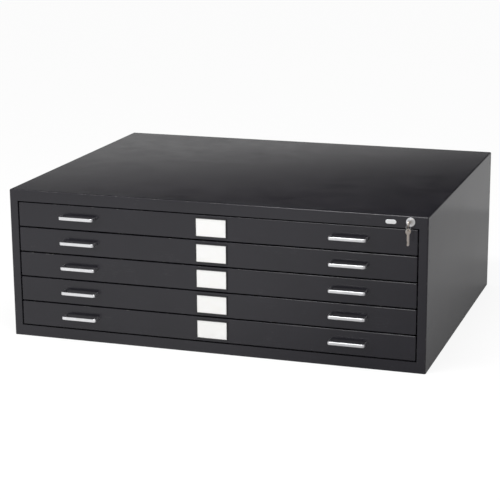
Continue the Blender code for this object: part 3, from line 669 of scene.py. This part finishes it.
screw_head = cross_head()
tray_half = case_high.x - tray_side_room + tray_sheet
for number in drawer_numbers:
    drawer = f"drawer_{number}"
    coat(f"{drawer}_tray", tray_enamel)
    coat(f"{drawer}_depressor", tray_enamel)
    low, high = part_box(f"{drawer}_tray")
    low.x, high.x = -tray_half, tray_half
    fitted(f"{drawer}_hem", hem_mesh(low, high), tray_enamel, drawer, "black_paint")
    rows = []
    for side in ("left", "right"):
        first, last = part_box(f"{drawer}_handle_{side}")
        height = (first.z + last.z) / 2
        wall = low.y + tray_sheet
        legs = polyline([(first.x + screw_inset, wall, height), (last.x - screw_inset, wall, height)])
        sizes = {"Piece": screw_head, "Count": 2, "Outward": (0.0, 1.0, 0.0), "Seed": number}
        rows.append(shaped(legs, row_tree, {**sizes, "Finish": zinc_finish}))
    fitted(f"{drawer}_screws", joined(rows), zinc_finish, drawer, "zinc")
bpy.data.objects.remove(screw_head)


# Drawer fronts: shallow pans of 0.8 mm steel with lips turned in at the back. The folded
# edges are round, and catch the light as a thin line along the top of each drawer.
front_sheet = 0.0008
front_fold = 0.003
front_fold_steps = 5
front_lip = 0.012


def front_mesh(low, high):
    bm = sheet_box(low, high)
    back = [face for face in bm.faces if face.normal.y > facing_share]
    bmesh.ops.inset_region(bm, faces=back, thickness=front_lip, use_even_offset=True)
    bmesh.ops.delete(bm, geom=back, context="FACES")
    fold(bm, front_fold, front_fold_steps)
    obj = from_bmesh(bm)
    thicken(obj, front_sheet)
    return applied(obj)


for number in drawer_numbers:
    drawer = f"drawer_{number}"
    low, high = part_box(f"{drawer}_front")
    edges = {"box": middle_and_half(low, high), "wear": 0.0007}
    paint = enamel(f"front_enamel_{number}", outer_black, roughness=0.20, dust=0.03, rubs=0.5, **edges)
    fitted(f"{drawer}_panel", front_mesh(low, high), paint, drawer, "black_paint", f"{drawer}_front")


# Handles: a flat steel bar bent into two legs, its edges rounded, polished and plated
# with chrome. Two screws from inside the drawer hold each one.
pull_stand = 0.028
pull_bar = 0.0045
pull_height = 0.009
pull_bend = 0.008
pull_edge = 0.0022
chrome_tones = (0.78, 0.78, 0.80), (0.71, 0.71, 0.72)
chrome_roughness = (0.28, 0.36)
chrome_relief = 0.000002
buffing_scale = (30.0, 900.0, 900.0)
chrome_finish, tree, shader, place = new_material("chrome", 1.0)
smudges = grouped(tree, patch_tree, {"Place": place, "Patch": 0.018})["Patches"]
shade = blend_colours(tree, smudges, *chrome_tones)
rubs = {"Place": place, "Length": 0.02, "Amount": 0.6}
plated(tree, shader, shade, smudges, chrome_roughness, rubs, rub_dulls=0.12)
buffing = add_node(tree, "ShaderNodeMapping", {"Vector": place, "Scale": buffing_scale}).outputs[0]
dimpled(tree, shader, noise(tree, buffing, 1.0), chrome_relief)


def pull_mesh(low, high):
    """A handle's bent bar, from the drawer front out to its grip and back."""
    mid = (low.z + high.z) / 2
    left, right = low.x + pull_bar / 2, high.x - pull_bar / 2
    grip, root = low.y + pull_bar / 2, low.y + pull_stand
    legs = polyline([(left, root, mid), (left, grip, mid), (right, grip, mid), (right, root, mid)])
    sizes = {"Bar": pull_bar, "Height": pull_height, "Bend": pull_bend, "Edge": pull_edge}
    return shaped(legs, bar_tree, {**sizes, "Finish": chrome_finish})


for number in drawer_numbers:
    for side in ("left", "right"):
        drawer, node = f"drawer_{number}", f"drawer_{number}_handle_{side}"
        fitted(f"{drawer}_pull_{side}", pull_mesh(*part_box(node)), chrome_finish, drawer, "chrome", node)


# Label holders and cards: a frame pressed from thin steel, black like the fronts, with
# lips over three sides of a plain white card that slides in from above
holder_black = (0.012, 0.012, 0.014)
holder_enamel = enamel("holder_enamel", holder_black, roughness=0.40, dust=0.04, rubs=0.5)
holder_edge = 0.0003
card_thickness = 0.0003
card_bow = 0.00012
card_steps = 12
flat_angle = math.radians(1)
card_tones = (0.915, 0.915, 0.905), (0.90, 0.895, 0.875)
card_roughness = (0.72, 0.88)
card_relief = 0.00002
fibre_stretch = (1.0, 1.0, 2.6)
fibre_size = 0.0011
fibre_rough = 0.7
fibre_tone = (0.83, 0.82, 0.80)
fibre_edges = (0.55, 0.8)
fibre_show = 0.25
card_finish, tree, shader, place = new_material("card_stock")
fibres = add_node(tree, "ShaderNodeMapping", {"Vector": place, "Scale": fibre_stretch}).outputs[0]
pulp = noise(tree, fibres, fibre_size, detail=6.0, rough=fibre_rough)
tint = grouped(tree, patch_tree, {"Place": place, "Patch": 0.03})["Patches"]
shade = blend_colours(tree, tint, *card_tones)
shade = blend_colours(tree, spread(tree, pulp, *fibre_edges, 0.0, fibre_show), shade, fibre_tone)
tree.links.new(shade, shader.inputs["Base Color"])
tree.links.new(spread(tree, pulp, *patch_edges, *card_roughness), shader.inputs["Roughness"])
dimpled(tree, shader, pulp, card_relief)


def softened(node, edge, steps=2):
    """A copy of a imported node, made one surface, with its cut edges rounded over."""
    bm = bmesh.new()
    bm.from_mesh(frame["nodes"][node].data)
    bmesh.ops.remove_doubles(bm, verts=bm.verts, dist=merge_gap)
    bmesh.ops.dissolve_limit(bm, angle_limit=flat_angle, verts=bm.verts, edges=bm.edges)
    obj = from_bmesh(bm)
    rounding = obj.modifiers.new("Edges", "BEVEL")
    rounding.width = edge
    rounding.segments = steps
    rounding.limit_method = "ANGLE"
    rounding.angle_limit = smooth_angle
    rounding.use_clamp_overlap = True
    return applied(obj)


def card_mesh(low, high):
    """A thin card that bows a hair towards its lips."""
    mesh = bpy.data.meshes.new("card")
    columns, points, faces = card_steps + 1, [], []
    for n in range(columns):
        share = n / card_steps
        bow = card_bow * (1 - (2 * share - 1) ** 2)
        x = low.x + (high.x - low.x) * share
        points += [(x, high.y - bow, low.z), (x, high.y - bow, high.z)]
        if n:
            faces.append((2 * n - 2, 2 * n, 2 * n + 1, 2 * n - 1))
    mesh.from_pydata(points, [], faces)
    obj = in_scene(mesh)
    thicken(obj, -card_thickness)
    return applied(obj)


for number in drawer_numbers:
    drawer = f"drawer_{number}"
    holder, card = f"{drawer}_label_holder", f"{drawer}_label_card"
    frame_mesh = softened(holder, holder_edge)
    fitted(f"{drawer}_card_frame", frame_mesh, holder_enamel, drawer, "holder_steel", holder)
    fitted(f"{drawer}_card", card_mesh(*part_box(card)), card_finish, drawer, "card_stock", card)


# Badge plate: a blank pill-shaped plate stamped from brushed aluminium, which leaves its
# edge domed, and glued to the top rail
badge_edge = 0.0004
badge_steps = 3
badge_tones = (0.80, 0.81, 0.82), (0.90, 0.90, 0.91)
badge_roughness = (0.26, 0.40)
brushing_scale = (20.0, 1.0, 3200.0)
brushing_relief = 0.000004
badge_finish, tree, shader, place = new_material("brushed_aluminium", 1.0)
strokes = add_node(tree, "ShaderNodeMapping", {"Vector": place, "Scale": brushing_scale}).outputs[0]
brushing = noise(tree, strokes, 1.0, detail=3.0)
tree.links.new(blend_colours(tree, brushing, *badge_tones), shader.inputs["Base Color"])
tree.links.new(spread(tree, brushing, *patch_edges, *badge_roughness), shader.inputs["Roughness"])
dimpled(tree, shader, brushing, brushing_relief)
badge_mesh = softened("badge_plate", badge_edge, badge_steps)
fitted("blank_badge", badge_mesh, badge_finish, "case", "badge_metal", "badge_plate")


# Lock: a cast zinc housing, chromed, whose rounded bezel sits on the case and whose
# threaded barrel is held by a nut behind it. The plug in its bore turns with the key.
bezel_edge = 0.0011
bezel_dish = 0.0004
bezel_seat = 0.0003
barrel_radius = 0.0095
plug_bore = 0.0063
plug_edge = 0.0003
thread_turns = 12
thread_depth = 0.0005
thread_crest = 0.0002
lock_facets = 64
bezel_radius = (lock_high.x - lock_low.x) / 2
front, rear = lock_low.y - case_low.y, lock_high.y - case_low.y
dished = front + bezel_dish
profile = [(plug_bore, dished), (plug_bore + bezel_dish, dished), (plug_bore + 2 * bezel_dish, front)]
profile += quarter((bezel_radius - bezel_edge, front + bezel_edge), bezel_edge, -90, 0)
profile += [(bezel_radius, -bezel_seat), (barrel_radius, -bezel_seat)]
for n in range(thread_turns):
    along = -bezel_seat + (rear + bezel_seat) * (n + 0.5) / thread_turns
    profile += [(barrel_radius, along - thread_crest), (barrel_radius - thread_depth, along)]
profile += [(barrel_radius - thread_depth, rear), (plug_bore, rear)]
housing = as_mesh(turned(profile, lock_centre, (0, 1, 0), lock_facets))
fitted("lock_bezel", housing, chrome_finish, "case", "chrome", "lock_housing")
fitted("lock_barrel", softened("lock_plug", plug_edge), chrome_finish, "lock_core", "chrome", "lock_plug")


# Keys: flat blanks with a milled edge, nickel plate worn through to brass in patches.
# One is in the lock, and the spare hangs from it on a split ring of spring wire.
key_edge = 0.00025
key_tones = (0.60, 0.56, 0.55), (0.60, 0.51, 0.42)
key_roughness = (0.26, 0.38)
key_relief = 0.000008
key_finish, tree, shader, place = new_material("worn_nickel", 1.0)
wear = grouped(tree, patch_tree, {"Place": place, "Patch": 0.006})["Patches"]
shade = blend_colours(tree, wear, *key_tones)
rubs = {"Place": place, "Length": 0.012, "Amount": 1.2}
plated(tree, shader, shade, wear, key_roughness, rubs, rub_dulls=0.15)
dimpled(tree, shader, wear, key_relief)
for node in ("key", "spare_key"):
    fitted(f"cut_{node}", softened(node, key_edge), key_finish, node, "key_metal", node)

solid_ring_wire = 0.0008
coil_wire = 0.0004
coil_pitch = 0.0008
coil_turns = 1.9
coil_steps = 48
wire_facets = 10
ring_low, ring_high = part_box("key_ring")
ring_radius = (ring_high.x - ring_low.x) / 2 - solid_ring_wire
ring_sizes = {"Radius": ring_radius, "Wire": coil_wire, "Turns": coil_turns, "Pitch": coil_pitch}
ring_tree, given, result = new_shape_tree("split_ring", {**ring_sizes, "Finish": zinc_finish})
coil = {"Resolution": coil_steps, "Rotations": given["Turns"]}
coil.update({"Start Radius": given["Radius"], "End Radius": given["Radius"]})
coil["Height"] = calculate(ring_tree, "MULTIPLY", given["Pitch"], given["Turns"])
coil = add_node(ring_tree, "GeometryNodeCurveSpiral", coil).outputs[0]
wire = {"Resolution": wire_facets, "Radius": given["Wire"]}
wire = add_node(ring_tree, "GeometryNodeCurvePrimitiveCircle", wire, mode="RADIUS").outputs[0]
coil = {"Curve": coil, "Profile Curve": wire, "Fill Caps": True}
coil = add_node(ring_tree, "GeometryNodeCurveToMesh", coil).outputs[0]
finish_shape(ring_tree, coil, given["Finish"], result)
ring_mesh = shaped(in_scene(bpy.data.meshes.new("start")), ring_tree, ring_sizes)
upright = Matrix.Rotation(math.pi / 2, 4, "X")
heights = [vert.co.z for vert in ring_mesh.vertices]
ring_mesh.transform(Matrix.Translation((0, 0, -(min(heights) + max(heights)) / 2)))
ring_mesh.transform(Matrix.Translation((ring_low + ring_high) / 2) @ upright)
fitted("split_ring", ring_mesh, zinc_finish, "key_ring", "zinc", "key_ring")


# Studio: a pale floor that runs out of sight, soft light all round, a broad soft box to
# the front left and one overhead, and a dim glowing backdrop with painted shade that the
# glossy top mirrors. Seen in gloss, the floor glows less to the right: a painted shade.
plain_light = 0.65
floor_reach = 30.0
floor_tone = 0.80
floor_glow = 0.80
floor_white = 1.08
floor_in_gloss = 0.6
floor_bright_side = 1.15
floor_dim_side = 0.15
floor_bright_end = -0.1
floor_dim_end = 0.45


def seen_directly(tree, in_gloss=1.0):
    """1 for what the camera sees, a share of that in gloss, and 0 for the light that falls."""
    ray = add_node(tree, "ShaderNodeLightPath").outputs
    either = calculate(tree, "MAXIMUM", ray["Is Camera Ray"], ray["Is Transmission Ray"])
    return calculate(tree, "MAXIMUM", either, calculate(tree, "MULTIPLY", ray["Is Glossy Ray"], in_gloss))


floor_finish, tree, shader, place = new_material("floor")
shader.inputs["Base Color"].default_value = (floor_tone, floor_tone, floor_tone, 1)
shader.inputs["Roughness"].default_value = 1.0
shader.inputs["Specular IOR Level"].default_value = 0.0
x, y, z = add_node(tree, "ShaderNodeSeparateXYZ", {0: place}).outputs
# Painted shade: seen in gloss, the floor's glow falls from bright on the left to dim on the right
across = spread(tree, x, floor_bright_end, floor_dim_end, floor_bright_side, floor_dim_side)
ray = add_node(tree, "ShaderNodeLightPath").outputs
strength = add_node(tree, "ShaderNodeMix", {0: ray["Is Camera Ray"], 2: across, 3: floor_white}).outputs[0]
white = add_node(tree, "ShaderNodeEmission", {"Color": (1, 1, 1, 1), "Strength": strength}).outputs[0]
share = calculate(tree, "MULTIPLY", seen_directly(tree, floor_in_gloss), floor_glow)
mixed = add_node(tree, "ShaderNodeMixShader", {0: share, 1: shader.outputs[0], 2: white})
tree.links.new(mixed.outputs[0], tree.nodes["Material Output"].inputs["Surface"])


def four_sided(name, corners, material):
    mesh = bpy.data.meshes.new(name)
    mesh.from_pydata(corners, [], [(0, 1, 2, 3)])
    mesh.materials.append(material)
    return in_scene(mesh, name)


corners = [(-1, -1), (1, -1), (1, 1), (-1, 1)]
corners = [(x * floor_reach, y * floor_reach, 0) for x, y in corners]
four_sided("floor", corners, floor_finish)

# A dim glowing backdrop with painted shade towards its top and its right, that only the glossy enamel shows
backdrop_far = 1.45
backdrop_half_width = 4.5
backdrop_height = 4.0
backdrop_left_glow = 0.48
backdrop_right_glow = 0.52
backdrop_left = -1.1
backdrop_right = 0.6
backdrop_lean = 0.12
painted_shade_start = 0.62
painted_shade_end = 0.69
backdrop_finish, tree, shader, place = new_material("backdrop")
x, y, z = add_node(tree, "ShaderNodeSeparateXYZ", {0: place}).outputs
across = calculate(tree, "ADD", z, calculate(tree, "MULTIPLY", x, backdrop_lean))
backdrop_glow = spread(tree, x, backdrop_left, backdrop_right, backdrop_left_glow, backdrop_right_glow)
# Painted shade: the backdrop's glow fades towards its top and its right
painted_backdrop_glow = calculate(tree, "MULTIPLY", backdrop_glow, spread(tree, across, painted_shade_start, painted_shade_end, 1.0, 0.0))
glow = add_node(tree, "ShaderNodeEmission", {"Color": (1, 1, 1, 1), "Strength": painted_backdrop_glow}).outputs[0]
tree.links.new(glow, tree.nodes["Material Output"].inputs["Surface"])
corners = [(-1, 0), (1, 0), (1, 1), (-1, 1)]
corners = [(x * backdrop_half_width, backdrop_far, z * backdrop_height) for x, z in corners]
backdrop = four_sided("backdrop", corners, backdrop_finish)
backdrop.visible_camera = False
backdrop.visible_diffuse = False
backdrop.visible_shadow = False

world = bpy.data.worlds.new("studio")
bpy.context.scene.world = world
world.use_nodes = True
tree = world.node_tree
plain = tree.nodes["Background"]
plain.inputs["Color"].default_value = (1, 1, 1, 1)
plain.inputs["Strength"].default_value = plain_light
white = add_node(tree, "ShaderNodeBackground", {"Color": (1, 1, 1, 1), "Strength": 1.0}).outputs[0]
mixed = add_node(tree, "ShaderNodeMixShader", {0: seen_directly(tree), 1: plain.outputs[0], 2: white})
tree.links.new(mixed.outputs[0], tree.nodes["World Output"].inputs["Surface"])


def soft_box(name, place, aim, size, power):
    lamp = bpy.data.lights.new(name, "AREA")
    lamp.shape = "RECTANGLE"
    lamp.size, lamp.size_y = size
    lamp.energy = power
    obj = bpy.data.objects.new(name, lamp)
    bpy.context.scene.collection.objects.link(obj)
    obj.location = place
    obj.rotation_mode = "QUATERNION"
    obj.rotation_quaternion = (Vector(aim) - Vector(place)).to_track_quat("-Z", "Y")
    return obj


aim = (-0.3, -0.45, 0.15)
key_light = soft_box("key_light", place=(-1.5, -2.3, 1.5), aim=aim, size=(1.4, 1.1), power=16.0)
key_light.visible_glossy = False
soft_box("top_light", place=(0.05, -1.1, 2.5), aim=(0.1, -0.4, 0.4), size=(1.2, 0.5), power=31.0)

# Camera: at the photograph's angle, with a long lens
camera_aim = Vector((-0.039, 0.0, 0.175))
camera_azimuth = math.radians(18.42)
camera_elevation = math.radians(14.57)
camera_roll = math.radians(-0.372)
camera_distance = 4.721
lens_length = 115.2
sensor_width = 36.0
lens = bpy.data.cameras.new("camera")
lens.lens = lens_length
lens.sensor_width = sensor_width
camera = bpy.data.objects.new("camera", lens)
bpy.context.scene.collection.objects.link(camera)
flat = Vector((math.cos(camera_azimuth), math.sin(camera_azimuth), 0))
level = Vector((math.sin(camera_azimuth), -math.cos(camera_azimuth), 0))
back = level * math.cos(camera_elevation) + Vector((0, 0, math.sin(camera_elevation)))
right = flat * math.cos(camera_roll) + back.cross(flat) * math.sin(camera_roll)
turn = Matrix((right, back.cross(right), back)).transposed()
camera.matrix_world = Matrix.Translation(camera_aim + back * camera_distance) @ turn.to_4x4()
bpy.context.scene.camera = camera
bpy.context.scene.view_settings.view_transform = "Standard"
